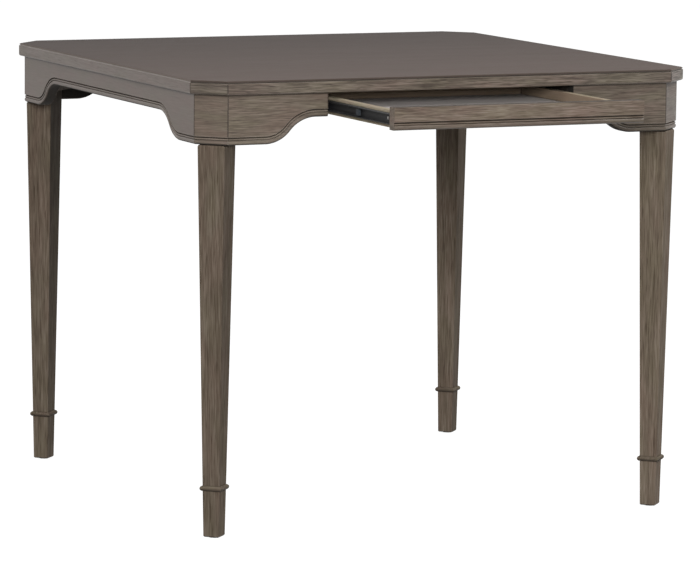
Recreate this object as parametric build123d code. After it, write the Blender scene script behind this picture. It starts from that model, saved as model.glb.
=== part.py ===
from build123d import *
import os
from math import atan2, cos, degrees, radians, sin, sqrt, tan

# ---------------------------------------------------------------------------
# Gaming table.  Origin: floor level, centre of the table.  +Z up, the drawer
# opens towards -Y, X runs along the drawer front.  Millimetres.
# ---------------------------------------------------------------------------

# --- Table top ---
table_height = 762.0
top_width = 914.4
top_depth = 914.4
top_thickness = 23.0
top_corner_cut = 47.6
top_round_upper = 4.5
top_round_lower = 3.5
band_width = 28.0
face_sheet_thickness = 2.4
shadow_groove_height = 1.8
shadow_groove_depth = 2.0
tongue_depth = 8.0
tongue_thickness = 7.0

# --- Aprons and corner panels ---
apron_inset = 9.3
apron_corner_cut = 42.7
apron_thickness = 19.0
corner_panel_thickness = 16.0
apron_end_depth = 83.0
apron_middle_depth = 40.0
apron_flat_end = 67.0
scroll_length = 91.0

# --- Quirk-and-bead moulding along every lower edge ---
moulding_height = 13.3
groove_height = 11.8
groove_depth = 2.6
fillet_top = 10.6
fillet_bottom = 8.9
fillet_depth = 0.8
quirk_height = 8.0
quirk_depth = 2.2
bead_crown_height = 4.2
bead_foot_depth = 3.2

# --- Legs ---
leg_top_size = 47.7
leg_foot_size = 27.2
leg_setback = 1.0
leg_shoulder_round = 4.0
leg_foot_chamfer = 1.6
post_clearance = 0.3
collar_height = 9.0
collar_projection = 4.0
collar_centre_height = 83.5
glide_radius = 9.0
glide_thickness = 1.5
glide_nail_radius = 1.2
glide_nail_length = 14.0

# --- Corner braces and their fasteners ---
brace_thickness = 22.0
brace_height = 60.0
hanger_bolt_radius = 4.0
hanger_bolt_in_leg = 22.0
hanger_bolt_tail = 4.0
hanger_bolt_first_drop = 17.0
hanger_bolt_pitch = 28.0
nut_across_flats = 13.0
nut_height = 6.0
nut_flange_radius = 8.5
nut_flange_thickness = 2.0
brace_screw_first_drop = 20.0
brace_screw_pitch = 22.0
brace_screw_seat = 12.0
brace_screw_setback = 14.0

# --- Runner rails and top cleats ---
rail_thickness = 20.0
rail_height = 38.0
cleat_size = 20.0
side_cleat_brace_gap = 50.0
front_cleat_brace_gap = 14.0
back_cleat_rail_gap = 26.5
cleat_screw_shares = (0.2, 0.8)
rail_screw_shares = (-0.8, 0, 0.8)

# --- Wood screws ---
screw_radius = 2.0
screw_head_radius = 4.0
screw_head_height = 2.4
screw_tip_length = 4.0
screw_tip_radius = 0.3
screw_recess_radius = 1.4
screw_clearance = 0.1
screw_bite = 13.0

# --- Drawer ---
opening_width = 453.0
drawer_side_gap = 1.5
drawer_top_gap = 3.0
drawer_front_thickness = 19.0
drawer_box_length = 400.0
drawer_side_thickness = 12.0
drawer_side_height = 28.0
drawer_side_drop = 10.5
drawer_rabbet_depth = 6.0
drawer_bottom_thickness = 4.0
drawer_bottom_lift = 7.5
drawer_groove_depth = 5.0
drawer_groove_clearance = 0.2
drawer_front_screw_side_gap = 22.5
drawer_front_screw_bite = 12.0
drawer_open_at_rest = 258.0

# --- Telescoping slides ---
slide_height = 17.0
slide_depth = 12.0
slide_centre_drop = 23.5
drawer_member_sheet = 1.0
drawer_member_reach = 9.4
lip_thickness = 0.8
lip_depth = 0.6
middle_sheet = 0.8
middle_reach = 6.4
member_web_gap = 1.2
cabinet_sheet = 0.8
cabinet_web_thickness = 1.0
cabinet_reach = 7.6
cabinet_front_setback = 20.0
ball_diameter = 1.5
race_clearance = 0.05
cage_length = 150.0
cage_web_thickness = 0.5
cage_flange_thickness = 0.6
cage_flange_reach = 5.6
cage_hole_clearance = 0.1
balls_per_row = 5
ball_pitch = 30.0
bumper_length = 8.0
bumper_reach = 4.6
bumper_slot_length = 2.0
slide_screw_radius = 1.6
slide_screw_head_radius = 2.6
slide_screw_head_height = 1.6
slide_screw_length = 10.0
cabinet_screw_first = 60.0
cabinet_screw_pitch = 140.0
drawer_screw_first = 27.0
drawer_screw_middle = 190.0
drawer_screw_last = 385.0

# --- Worked out from the sizes above ---
half_x = top_width / 2
half_y = top_depth / 2
top_underside = table_height - top_thickness
apron_bottom = top_underside - apron_end_depth
middle_bottom = top_underside - apron_middle_depth
mitre = tan(radians(22.5))
apron_face_x = half_x - apron_inset
apron_face_y = half_y - apron_inset
panel_face = leg_top_size / 2 + leg_setback
leg_inset = (panel_face * sqrt(2) + apron_corner_cut) / 2 + apron_inset
leg_x = half_x - leg_inset
leg_y = half_y - leg_inset
opening_half = opening_width / 2
rail_bottom = top_underside - rail_height
box_half = opening_half - slide_depth
side_inner = box_half - drawer_side_thickness
box_front_y = -apron_face_y + drawer_front_thickness
box_back_y = box_front_y + drawer_box_length
side_top = top_underside - drawer_side_drop
side_bottom = side_top - drawer_side_height
slide_z = top_underside - slide_centre_drop
cabinet_screw_places = [cabinet_screw_first + i * cabinet_screw_pitch for i in range(3)]
drawer_screw_places = [drawer_screw_first, drawer_screw_middle, drawer_screw_last]
drawer_shift = Location((0, -drawer_open_at_rest, 0))
middle_shift = Location((0, -drawer_open_at_rest / 2, 0))
outer_cage_shift = Location((0, -drawer_open_at_rest * 3 / 4, 0))
inner_cage_shift = Location((0, -drawer_open_at_rest / 4, 0))

CORNERS = {
    "front_left": (-1, -1, -45),
    "front_right": (1, -1, 45),
    "back_right": (1, 1, 135),
    "back_left": (-1, 1, -135),
}
SIDES = {"left": -1, "right": 1}

nodes = {}


# ---------------------------------------------------------------------------
# Helpers
# ---------------------------------------------------------------------------
def block(x0, x1, y0, y1, z0, z1):
    """A box given by its limits."""
    return Pos((x0 + x1) / 2, (y0 + y1) / 2, (z0 + z1) / 2) * Box(x1 - x0, y1 - y0, z1 - z0)


def prism(points, z0, z1):
    """A plan outline raised from z0 to z1."""
    outline = make_face(Polyline(*points, close=True))
    return extrude(Pos(0, 0, z0) * outline, amount=z1 - z0)


def rod(start, direction, radius, length):
    """A cylinder that starts at a point and runs along a direction."""
    frame = Plane(origin=start, z_dir=direction)
    return frame.location * (Pos(0, 0, length / 2) * Cylinder(radius, length))


def at_corner(piece, corner):
    """Place a corner piece, drawn round the leg's axis with -Y pointing outwards."""
    sx, sy, angle = CORNERS[corner]
    return Location((sx * leg_x, sy * leg_y, 0), (0, 0, angle)) * piece


def corner_point(corner, x, y, z):
    """A point of a corner's own frame, in the table's frame."""
    return at_corner(Pos(x, y, z), corner).position


def corner_direction(corner, x, y):
    """A direction of a corner's own frame, in the table's frame."""
    angle = radians(CORNERS[corner][2])
    return (x * cos(angle) - y * sin(angle), x * sin(angle) + y * cos(angle), 0)


def group(pieces):
    """Separate solids that share one node."""
    return Compound(children=list(pieces))


def side_copy(piece, side):
    """A piece drawn for the left side, mirrored for the right one."""
    return piece if side == "left" else piece.mirror(Plane.YZ)


def wood_screw(start, direction, length):
    """A pan-head wood screw whose head seats on the start point."""
    shank_length = length - screw_tip_length
    shank = Pos(0, 0, shank_length / 2) * Cylinder(screw_radius, shank_length)
    tip = Pos(0, 0, length - screw_tip_length / 2) * Cone(screw_radius, screw_tip_radius, screw_tip_length)
    head = Pos(0, 0, -screw_head_height / 2) * Cylinder(screw_head_radius, screw_head_height)
    recess = Pos(0, 0, -screw_head_height) * Cylinder(screw_recess_radius, screw_head_height)
    return Plane(origin=start, z_dir=direction).location * (shank + tip + head - recess)


def screw_hole(start, direction, length):
    """The hole that a wood screw of this length needs."""
    return rod(start, direction, screw_radius + screw_clearance, length + screw_clearance)


# ---------------------------------------------------------------------------
# Table top
# ---------------------------------------------------------------------------
def octagon(inset):
    """The clipped-corner outline, moved inwards by the same distance all round."""
    x = half_x - inset
    y = half_y - inset
    cut = top_corner_cut - inset * (2 - sqrt(2))
    return [
        (-x + cut, -y), (x - cut, -y), (x, -y + cut), (x, y - cut),
        (x - cut, y), (-x + cut, y), (-x, y - cut), (-x, -y + cut),
    ]


def make_top():
    """The panel (face sheet, core and tongue) and its eight edge bands."""
    whole = prism(octagon(0), top_underside, table_height)
    whole = fillet(whole.faces().sort_by(Axis.Z)[-1].edges(), top_round_upper)
    whole = fillet(whole.faces().sort_by(Axis.Z)[0].edges(), top_round_lower)
    sheet_bottom = table_height - face_sheet_thickness
    core = prism(octagon(band_width), top_underside, table_height)
    tongue_bottom = top_underside + (top_thickness - face_sheet_thickness - tongue_thickness) / 2
    tongue = prism(octagon(band_width - tongue_depth), tongue_bottom, tongue_bottom + tongue_thickness)
    sheet = whole & prism(octagon(-1), sheet_bottom, table_height + 1)
    panel = core + tongue + sheet
    groove_bottom = sheet_bottom - shadow_groove_height
    groove = prism(octagon(-1), groove_bottom, sheet_bottom)
    groove -= prism(octagon(shadow_groove_depth), groove_bottom, sheet_bottom)
    ring = whole - panel - groove
    outer = octagon(-1)
    inner = octagon(band_width + 1)
    names = ["front", "front_right", "right", "back_right", "back", "back_left", "left", "front_left"]
    for i, name in enumerate(names):
        j = (i + 1) % len(names)
        sector = prism([outer[i], outer[j], inner[j], inner[i]], top_underside - 1, table_height + 1)
        nodes["edge_band_" + name] = ring & sector
    nodes["top_panel"] = panel - group(top_screw_holes())


# ---------------------------------------------------------------------------
# Moulded boards: aprons and corner panels
# ---------------------------------------------------------------------------
def scroll_edge(half_length, overrun):
    """The lower edge of an apron, from left to right, in (x, z)."""
    rise = (apron_end_depth - apron_middle_depth) / 2
    run = scroll_length / 2
    radius = (run * run + rise * rise) / (2 * rise)
    turn = degrees(2 * atan2(rise, run))
    start = half_length - apron_flat_end
    stop = start - scroll_length
    left_end = Line((-half_length - overrun, apron_bottom), (-start, apron_bottom))
    lower_left = JernArc((-start, apron_bottom), (1, 0), radius, turn)
    upper_left = JernArc(lower_left @ 1, lower_left % 1, radius, -turn)
    middle = Line(upper_left @ 1, (stop, middle_bottom))
    upper_right = JernArc(middle @ 1, (1, 0), radius, -turn)
    lower_right = JernArc(upper_right @ 1, upper_right % 1, radius, turn)
    right_end = Line(lower_right @ 1, (half_length + overrun, apron_bottom))
    return [left_end, lower_left, upper_left, middle, upper_right, lower_right, right_end]


def moulding_section():
    """What the moulding cutter takes off: (depth from the face, height above the edge)."""
    beyond = 3.0
    face_edge = (0, moulding_height)
    groove_floor = (groove_depth, groove_height)
    shelf = (fillet_depth, fillet_top)
    shelf_foot = (fillet_depth, fillet_bottom)
    quirk = (quirk_depth, quirk_height)
    bead_foot = (bead_foot_depth, 0)
    upper = Polyline((-beyond, moulding_height), face_edge, groove_floor, shelf, shelf_foot, quirk)
    bead = ThreePointArc(quirk, (0, bead_crown_height), bead_foot)
    outside = Polyline(bead_foot, (bead_foot_depth, -beyond), (-beyond, -beyond), (-beyond, moulding_height))
    return make_face([*upper.edges(), bead, *outside.edges()])


def moulding_cut(edges):
    """The moulding cutter run along an edge given in (x, z), on a face at y = 0."""
    path = Plane.XZ * Wire(edges)
    start = path @ 0
    frame = Plane(origin=start, x_dir=(0, 1, 0), z_dir=(1, 0, 0))
    return sweep(frame * moulding_section(), path=path)


def mitred_board(half_length, thickness):
    """A board's plan, mitred at both ends to meet the next board at 45 degrees."""
    back = half_length - thickness * mitre
    plan = [(-half_length, 0), (half_length, 0), (back, thickness), (-back, thickness)]
    return prism(plan, apron_bottom, top_underside)


def scroll_board(half_length):
    """An apron with its outer face at y = 0, facing -Y."""
    edge = scroll_edge(half_length, 0)
    top_corners = [(half_length, top_underside), (-half_length, top_underside)]
    closing = Polyline(edge[-1] @ 1, *top_corners, edge[0] @ 0)
    outline = Plane.XZ * make_face([*edge, *closing.edges()])
    board = extrude(outline, amount=apron_thickness, dir=(0, 1, 0))
    board &= mitred_board(half_length, apron_thickness)
    return board - moulding_cut(scroll_edge(half_length, apron_thickness))


def straight_cut(half_length, bottom):
    """The moulding cutter run along a straight lower edge."""
    return moulding_cut([Line((-half_length - 1, bottom), (half_length + 1, bottom))])


def make_aprons():
    """Back, left and right aprons whole; the front one in two halves beside the drawer."""
    reach_x = apron_face_x - apron_corner_cut
    reach_y = apron_face_y - apron_corner_cut
    holes = group(brace_screw_holes())
    front = Pos(0, -apron_face_y, 0) * scroll_board(reach_x) - holes
    left_half = block(-half_x, -opening_half, -half_y, half_y, 0, table_height)
    nodes["apron_front_left"] = front & left_half
    nodes["apron_front_right"] = front & left_half.mirror(Plane.YZ)
    nodes["apron_back"] = Rot(0, 0, 180) * (Pos(0, -apron_face_y, 0) * scroll_board(reach_x)) - holes
    side_board = Pos(0, -apron_face_x, 0) * scroll_board(reach_y)
    nodes["apron_left"] = Rot(0, 0, -90) * side_board - holes
    nodes["apron_right"] = Rot(0, 0, 90) * side_board - holes


def make_corner_panels():
    """The boards across the clipped corners."""
    half_length = apron_corner_cut / sqrt(2)
    board = mitred_board(half_length, corner_panel_thickness)
    board -= straight_cut(half_length + corner_panel_thickness, apron_bottom)
    board = Pos(0, -panel_face, 0) * board
    for corner in CORNERS:
        nodes["corner_panel_" + corner] = at_corner(board, corner)


# ---------------------------------------------------------------------------
# Legs, collars and glides
# ---------------------------------------------------------------------------
post_outer = panel_face - corner_panel_thickness
post_inner = leg_top_size / 2
apron_inner_reach = (leg_inset - apron_inset - apron_thickness) * sqrt(2)


def leg_size_at(height):
    """The leg's side at a height, along its straight taper."""
    share = (height - glide_thickness) / (apron_bottom - glide_thickness)
    return leg_foot_size + (leg_top_size - leg_foot_size) * share


def tapered_square(z0, z1, grow):
    """A length of the leg's taper, with its sides moved outwards."""
    size0 = leg_size_at(z0) + 2 * grow
    size1 = leg_size_at(z1) + 2 * grow
    return loft([Pos(0, 0, z0) * Rectangle(size0, size0), Pos(0, 0, z1) * Rectangle(size1, size1)])


def make_leg():
    """Tapered square leg; its post fills the corner between the aprons and stands behind the panel."""
    half = leg_top_size / 2
    neck_half = apron_inner_reach - post_outer - post_clearance
    full_from = half - apron_inner_reach + post_clearance
    taper = tapered_square(glide_thickness, apron_bottom, 0)
    taper = chamfer(taper.faces().sort_by(Axis.Z)[0].edges(), leg_foot_chamfer)
    outer_part = block(-half, half, -half, full_from, 0, apron_bottom)
    shoulder = taper & outer_part
    rounded = shoulder.faces().sort_by(Axis.Z)[-1].edges().sort_by(Axis.Y)[:-1]
    shoulder = fillet(rounded, leg_shoulder_round)
    leg = shoulder + (taper - outer_part)
    leg += block(-neck_half, neck_half, -post_outer, full_from, apron_bottom - 1, top_underside)
    leg += block(-half, half, full_from, post_inner, apron_bottom, top_underside)
    nail_radius = glide_nail_radius + screw_clearance
    nail_top = glide_thickness + glide_nail_length + screw_clearance
    leg -= Pos(0, 0, nail_top / 2) * Cylinder(nail_radius, nail_top)
    for z in hanger_bolt_heights():
        length = hanger_bolt_in_leg + screw_clearance
        leg -= rod((0, post_inner, z), (0, -1, 0), hanger_bolt_radius + screw_clearance, length)
    return leg


def make_collar():
    """Four half-round strips, mitred round the leg."""
    z0 = collar_centre_height - collar_height / 2
    z1 = collar_centre_height + collar_height / 2
    reach = leg_size_at(collar_centre_height) / 2 + collar_projection
    crown = ThreePointArc((0, z0), (-collar_projection, collar_centre_height), (0, z1))
    section = make_face([crown, Line((0, z1), (0, z0))])
    strips = []
    for turn in range(4):
        profile = Plane(origin=(-reach, -reach + collar_projection, 0), x_dir=(0, 1, 0), z_dir=(1, 0, 0))
        strip = extrude(profile * section, amount=2 * reach)
        strip += block(-reach, reach, -reach + collar_projection, 0, z0, z1)
        wedge = prism([(0, 0), (-2 * reach, -2 * reach), (2 * reach, -2 * reach)], z0, z1)
        strip = (strip & wedge) - tapered_square(z0 - 1, z1 + 1, 0)
        strips.append(Rot(0, 0, 90 * turn) * strip)
    return strips


def make_glide():
    """A flat nylon glide with its nail."""
    disc = Pos(0, 0, glide_thickness / 2) * Cylinder(glide_radius, glide_thickness)
    disc = fillet(disc.faces().sort_by(Axis.Z)[0].edges(), glide_thickness / 3)
    nail_length = glide_nail_length
    return disc + Pos(0, 0, glide_thickness + nail_length / 2) * Cylinder(glide_nail_radius, nail_length)


def make_legs():
    """A leg and a collar at each corner; the glides share a node."""
    leg = make_leg()
    collar = make_collar()
    for corner in CORNERS:
        nodes["leg_" + corner] = at_corner(leg, corner)
        nodes["leg_collar_" + corner] = group(at_corner(strip, corner) for strip in collar)
    nodes["foot_glides"] = group(at_corner(make_glide(), corner) for corner in CORNERS)


# ---------------------------------------------------------------------------
# Corner braces
# ---------------------------------------------------------------------------
def hanger_bolt_heights():
    """Heights of the two hanger bolts in each leg post."""
    return [top_underside - hanger_bolt_first_drop - i * hanger_bolt_pitch for i in range(2)]


def brace_screws():
    """Start and direction of each brace screw, square to the apron that it holds."""
    places = []
    depth = post_inner + brace_thickness - brace_screw_setback / sqrt(2)
    for corner in CORNERS:
        for hand in (-1, 1):
            seat_x = hand * (apron_inner_reach + depth)
            away = brace_screw_seat / sqrt(2)
            for i in range(2):
                z = top_underside - brace_screw_first_drop - i * brace_screw_pitch
                start = corner_point(corner, seat_x - hand * away, depth + away, z)
                direction = corner_direction(corner, hand, -1)
                places.append((start, direction))
    return places


def brace_screw_holes():
    """Holes for the brace screws."""
    length = brace_screw_seat + screw_bite
    return [screw_hole(start, direction, length) for start, direction in brace_screws()]


def make_braces():
    """Diagonal braces behind the leg posts, with their bolts, nuts and screws."""
    near = post_inner
    far = post_inner + brace_thickness
    near_half = apron_inner_reach + near
    far_half = apron_inner_reach + far
    plan = [(-near_half, near), (near_half, near), (far_half, far), (-far_half, far)]
    bolt_length = hanger_bolt_in_leg + brace_thickness + nut_height + hanger_bolt_tail
    brace = prism(plan, top_underside - brace_height, top_underside)
    bolts = []
    nuts = []
    for z in hanger_bolt_heights():
        start = (0, near - hanger_bolt_in_leg, z)
        brace -= rod(start, (0, 1, 0), hanger_bolt_radius + screw_clearance, bolt_length)
        bolts.append(rod(start, (0, 1, 0), hanger_bolt_radius, bolt_length))
        hexagon = extrude(RegularPolygon(nut_across_flats / 2, 6, major_radius=False), amount=nut_height)
        flange = Pos(0, 0, nut_flange_thickness / 2) * Cylinder(nut_flange_radius, nut_flange_thickness)
        bore = Pos(0, 0, nut_height / 2) * Cylinder(hanger_bolt_radius + screw_clearance, nut_height)
        nut = hexagon + flange - bore
        nuts.append(Plane(origin=(0, far, z), z_dir=(0, 1, 0)).location * nut)
    placed_braces = [at_corner(brace, corner) for corner in CORNERS]
    length = brace_screw_seat + screw_bite
    pockets = []
    for start, direction in brace_screws():
        back = (-direction[0], -direction[1], 0)
        pockets.append(rod(start, back, screw_head_radius + screw_clearance, brace_thickness * 2))
        pockets.append(screw_hole(start, direction, length))
    cutter = group(pockets)
    nodes["corner_braces"] = group(piece - cutter for piece in placed_braces)
    nodes["hanger_bolts"] = group(at_corner(bolt, corner) for corner in CORNERS for bolt in bolts)
    nodes["flange_nuts"] = group(at_corner(nut, corner) for corner in CORNERS for nut in nuts)
    nodes["brace_screws"] = group(wood_screw(start, direction, length) for start, direction in brace_screws())


# ---------------------------------------------------------------------------
# Runner rails and cleats
# ---------------------------------------------------------------------------
def cleat_blocks():
    """Cleats along the aprons, just under the top, as (box limits in x and y)."""
    inner_x = apron_face_x - apron_thickness
    inner_y = apron_face_y - apron_thickness
    rail_outer = opening_half + rail_thickness
    brace_run = (apron_inner_reach + 2 * (post_inner + brace_thickness)) / sqrt(2)
    half_side = leg_y - brace_run - side_cleat_brace_gap
    half_back = opening_half - back_cleat_rail_gap
    front_end = leg_x - brace_run - front_cleat_brace_gap
    boxes = [(-half_back, half_back, inner_y - cleat_size, inner_y)]
    for sign in (-1, 1):
        side_x = sorted((sign * inner_x, sign * (inner_x - cleat_size)))
        front_x = sorted((sign * rail_outer, sign * front_end))
        boxes.append((side_x[0], side_x[1], -half_side, half_side))
        boxes.append((front_x[0], front_x[1], -inner_y, -inner_y + cleat_size))
    return boxes


def top_screw_places():
    """Where screws go up through cleats and rails into the top: (x, y, height of wood below the top)."""
    places = []
    for x0, x1, y0, y1 in cleat_blocks():
        for share in cleat_screw_shares:
            long_x = x1 - x0 > y1 - y0
            x = x0 + share * (x1 - x0) if long_x else (x0 + x1) / 2
            y = (y0 + y1) / 2 if long_x else y0 + share * (y1 - y0)
            places.append((x, y, cleat_size))
    inner_y = apron_face_y - apron_thickness
    for sign in (-1, 1):
        for share in rail_screw_shares:
            places.append((sign * (opening_half + rail_thickness / 2), share * inner_y, rail_height))
    return places


def top_screw_holes():
    """Holes for the screws that hold the top."""
    up = (0, 0, 1)
    return [
        screw_hole((x, y, top_underside - below), up, below + screw_bite)
        for x, y, below in top_screw_places()
    ]


def make_rails_and_cleats():
    """The rails that carry the slides, the cleats, and the screws that hold the top down."""
    inner_y = apron_face_y - apron_thickness
    holes = group(top_screw_holes())
    rail = block(-opening_half - rail_thickness, -opening_half, -inner_y, inner_y, rail_bottom, top_underside)
    rail -= group(cabinet_screw_holes())
    for side in SIDES:
        nodes["runner_rail_" + side] = side_copy(rail, side) - holes
    cleats = [block(*limits, top_underside - cleat_size, top_underside) for limits in cleat_blocks()]
    nodes["top_cleats"] = group(cleat - holes for cleat in cleats)
    nodes["top_screws"] = group(
        wood_screw((x, y, top_underside - below), (0, 0, 1), below + screw_bite)
        for x, y, below in top_screw_places()
    )


# ---------------------------------------------------------------------------
# Drawer, drawn shut and then moved out to where it stands at rest
# ---------------------------------------------------------------------------
def drawer_front_screw_places():
    """Four screws from inside the drawer box into the drawer front."""
    z = (side_top + side_bottom + drawer_bottom_lift + drawer_bottom_thickness) / 2
    last_x = side_inner - drawer_front_screw_side_gap
    return [(share * last_x, box_front_y + drawer_side_thickness, z) for share in (-1, -1 / 3, 1 / 3, 1)]


def make_drawer_wood():
    """Drawer front, box and bottom."""
    half_width = opening_half - drawer_side_gap
    front_top = top_underside - drawer_top_gap
    length = drawer_side_thickness + drawer_front_screw_bite
    holes = group(screw_hole(place, (0, -1, 0), length) for place in drawer_front_screw_places())
    front = block(-half_width, half_width, 0, drawer_front_thickness, middle_bottom, front_top)
    front = Pos(0, -apron_face_y, 0) * (front - straight_cut(half_width, middle_bottom))
    nodes["drawer_front"] = drawer_shift * (front - holes)
    groove_low = side_bottom + drawer_bottom_lift - drawer_groove_clearance
    groove_high = side_bottom + drawer_bottom_lift + drawer_bottom_thickness + drawer_groove_clearance
    wide = side_inner + drawer_groove_depth
    groove_front = box_front_y + drawer_side_thickness - drawer_groove_depth
    groove_back = box_back_y - drawer_side_thickness + drawer_groove_depth
    groove = block(-wide, wide, groove_front, groove_back, groove_low, groove_high)
    rabbet_half = side_inner + drawer_rabbet_depth
    ends = {
        "drawer_box_front": (box_front_y, box_front_y + drawer_side_thickness),
        "drawer_box_back": (box_back_y - drawer_side_thickness, box_back_y),
    }
    slide_holes = group(drawer_screw_holes())
    side = block(-box_half, -side_inner, box_front_y, box_back_y, side_bottom, side_top) - groove
    for name, (y0, y1) in ends.items():
        end = block(-rabbet_half, rabbet_half, y0, y1, side_bottom, side_top)
        side -= end
        nodes[name] = drawer_shift * (end - groove - holes - slide_holes - slide_holes.mirror(Plane.YZ))
    side -= slide_holes
    for name in SIDES:
        nodes["drawer_side_" + name] = drawer_shift * side_copy(side, name)
    gap = drawer_groove_clearance
    wide -= gap
    bottom = block(-wide, wide, groove_front + gap, groove_back - gap, groove_low + gap, groove_high - gap)
    nodes["drawer_bottom"] = drawer_shift * bottom
    nodes["drawer_front_screws"] = group(
        drawer_shift * wood_screw(place, (0, -1, 0), length) for place in drawer_front_screw_places()
    )


# ---------------------------------------------------------------------------
# Telescoping slides, drawn shut for the left side: w runs from the rail's
# face (w = 0) to the drawer side (w = slide_depth).
# ---------------------------------------------------------------------------
rail_face = -opening_half
web_inner = slide_depth - drawer_member_sheet
middle_web_outer = web_inner - member_web_gap
middle_web_inner = middle_web_outer - middle_sheet
race_gap = ball_diameter + 2 * race_clearance
drawer_race = slide_height / 2 - drawer_member_sheet
middle_outer_race = drawer_race - race_gap
middle_inner_race = middle_outer_race - middle_sheet
cabinet_race = middle_inner_race - race_gap
outer_ball_z = (drawer_race + middle_outer_race) / 2
inner_ball_z = (middle_inner_race + cabinet_race) / 2
slide_front = box_front_y
slide_back = box_back_y


def slide_block(w0, w1, y0, y1, z0, z1):
    """A box in the slide's own coordinates: w, y and height above the slide's centre line."""
    return block(rail_face + w0, rail_face + w1, y0, y1, slide_z + z0, slide_z + z1)


def channel(w0, w1, cavity0, cavity1, half_height, sheet, y0, y1):
    """A rolled channel: an outer box less its cavity."""
    outer = slide_block(w0, w1, y0, y1, -half_height, half_height)
    inner = half_height - sheet
    return outer - slide_block(cavity0, cavity1, y0 - 1, y1 + 1, -inner, inner)


def make_drawer_member():
    """The full-height channel on the drawer side, open towards the rail, with turned-in lips."""
    tip = slide_depth - drawer_member_reach
    half = slide_height / 2
    sheet = drawer_member_sheet
    member = channel(tip, slide_depth, tip - 1, web_inner, half, sheet, slide_front, slide_back)
    for sign in (-1, 1):
        z0, z1 = sorted((sign * drawer_race, sign * (drawer_race - lip_depth)))
        member += slide_block(tip, tip + lip_thickness, slide_front, slide_back, z0, z1)
    return member - group(drawer_screw_holes())


def make_middle_member():
    """The middle channel that carries half of the travel."""
    tip = middle_web_outer - middle_reach
    cavity = (tip - 1, middle_web_inner)
    return channel(tip, middle_web_outer, *cavity, middle_outer_race, middle_sheet, slide_front, slide_back)


def make_cabinet_member():
    """The small channel on the runner rail, open towards the drawer."""
    front = slide_front + cabinet_front_setback
    cavity = (cabinet_web_thickness, cabinet_reach + 1)
    member = channel(0, cabinet_reach, *cavity, cabinet_race, cabinet_sheet, front, slide_back)
    return member - group(cabinet_screw_holes())


def ball_places(middle_y):
    """Ball centres along the slide for a cage centred at a place."""
    first = middle_y - (balls_per_row - 1) * ball_pitch / 2
    return [first + i * ball_pitch for i in range(balls_per_row)]


def make_cage_and_balls(web_w, ball_w, ball_z):
    """A ball cage, as a thin channel with a hole for each ball, and its balls."""
    middle_y = (slide_front + slide_back) / 2
    y0 = middle_y - cage_length / 2
    y1 = middle_y + cage_length / 2
    tip = web_w - cage_flange_reach
    half = ball_z + cage_flange_thickness / 2
    web = web_w - cage_web_thickness
    cage = channel(tip, web_w, tip - 1, web, half, cage_flange_thickness, y0, y1)
    hole_radius = ball_diameter / 2 + cage_hole_clearance
    balls = []
    holes = []
    for y in ball_places(middle_y):
        holes.append(Pos(rail_face + ball_w, y, slide_z) * Cylinder(hole_radius, slide_height))
        for sign in (-1, 1):
            balls.append(Pos(rail_face + ball_w, y, slide_z + sign * ball_z) * Sphere(ball_diameter / 2))
    return cage - group(holes), balls


def countersunk_screw(w, y):
    """A flat-head screw, flush in the drawer member's web."""
    frame = Plane(origin=(rail_face + w, y, slide_z), z_dir=(1, 0, 0)).location
    head_depth = slide_screw_head_radius - slide_screw_radius
    head = Pos(0, 0, head_depth / 2) * Cone(slide_screw_head_radius, slide_screw_radius, head_depth)
    shank = Pos(0, 0, slide_screw_length / 2) * Cylinder(slide_screw_radius, slide_screw_length)
    return frame * (head + shank)


def drawer_screw_holes():
    """Countersunk holes through the drawer member into the drawer side."""
    grown = slide_screw_head_radius + screw_clearance
    shank = slide_screw_radius + screw_clearance
    depth = grown - shank
    length = slide_screw_length + 2 * screw_clearance
    holes = []
    for place in drawer_screw_places:
        frame = Plane(origin=(rail_face + web_inner, slide_front + place, slide_z), z_dir=(1, 0, 0)).location
        cone = Pos(0, 0, depth / 2) * Cone(grown, shank, depth)
        straight = Pos(0, 0, slide_screw_length / 2) * Cylinder(shank, length)
        holes.append(frame * (cone + straight))
    return holes


def cabinet_screw_holes():
    """Holes through the cabinet member into the runner rail."""
    start_w = rail_face + cabinet_web_thickness
    length = slide_screw_length + screw_clearance
    return [
        rod((start_w, slide_front + place, slide_z), (-1, 0, 0), slide_screw_radius + screw_clearance, length)
        for place in cabinet_screw_places
    ]


def cabinet_screw(place):
    """A pan-head screw inside the cabinet member."""
    seat = (rail_face + cabinet_web_thickness, slide_front + place, slide_z)
    shank = rod(seat, (-1, 0, 0), slide_screw_radius, slide_screw_length)
    return shank + rod(seat, (1, 0, 0), slide_screw_head_radius, slide_screw_head_height)


def make_bumper():
    """The plastic stop in the front end of the middle member."""
    w1 = middle_web_inner
    w0 = w1 - bumper_reach
    half = middle_inner_race
    bumper = slide_block(w0, w1, slide_front, slide_front + bumper_length, -half, half)
    slot_start = slide_front + (bumper_length - bumper_slot_length) / 2
    slot_half = half - middle_sheet
    return bumper - slide_block(w0 - 1, w0 + bumper_reach / 2, slot_start, slot_start + bumper_slot_length,
                                -slot_half, slot_half)


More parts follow.
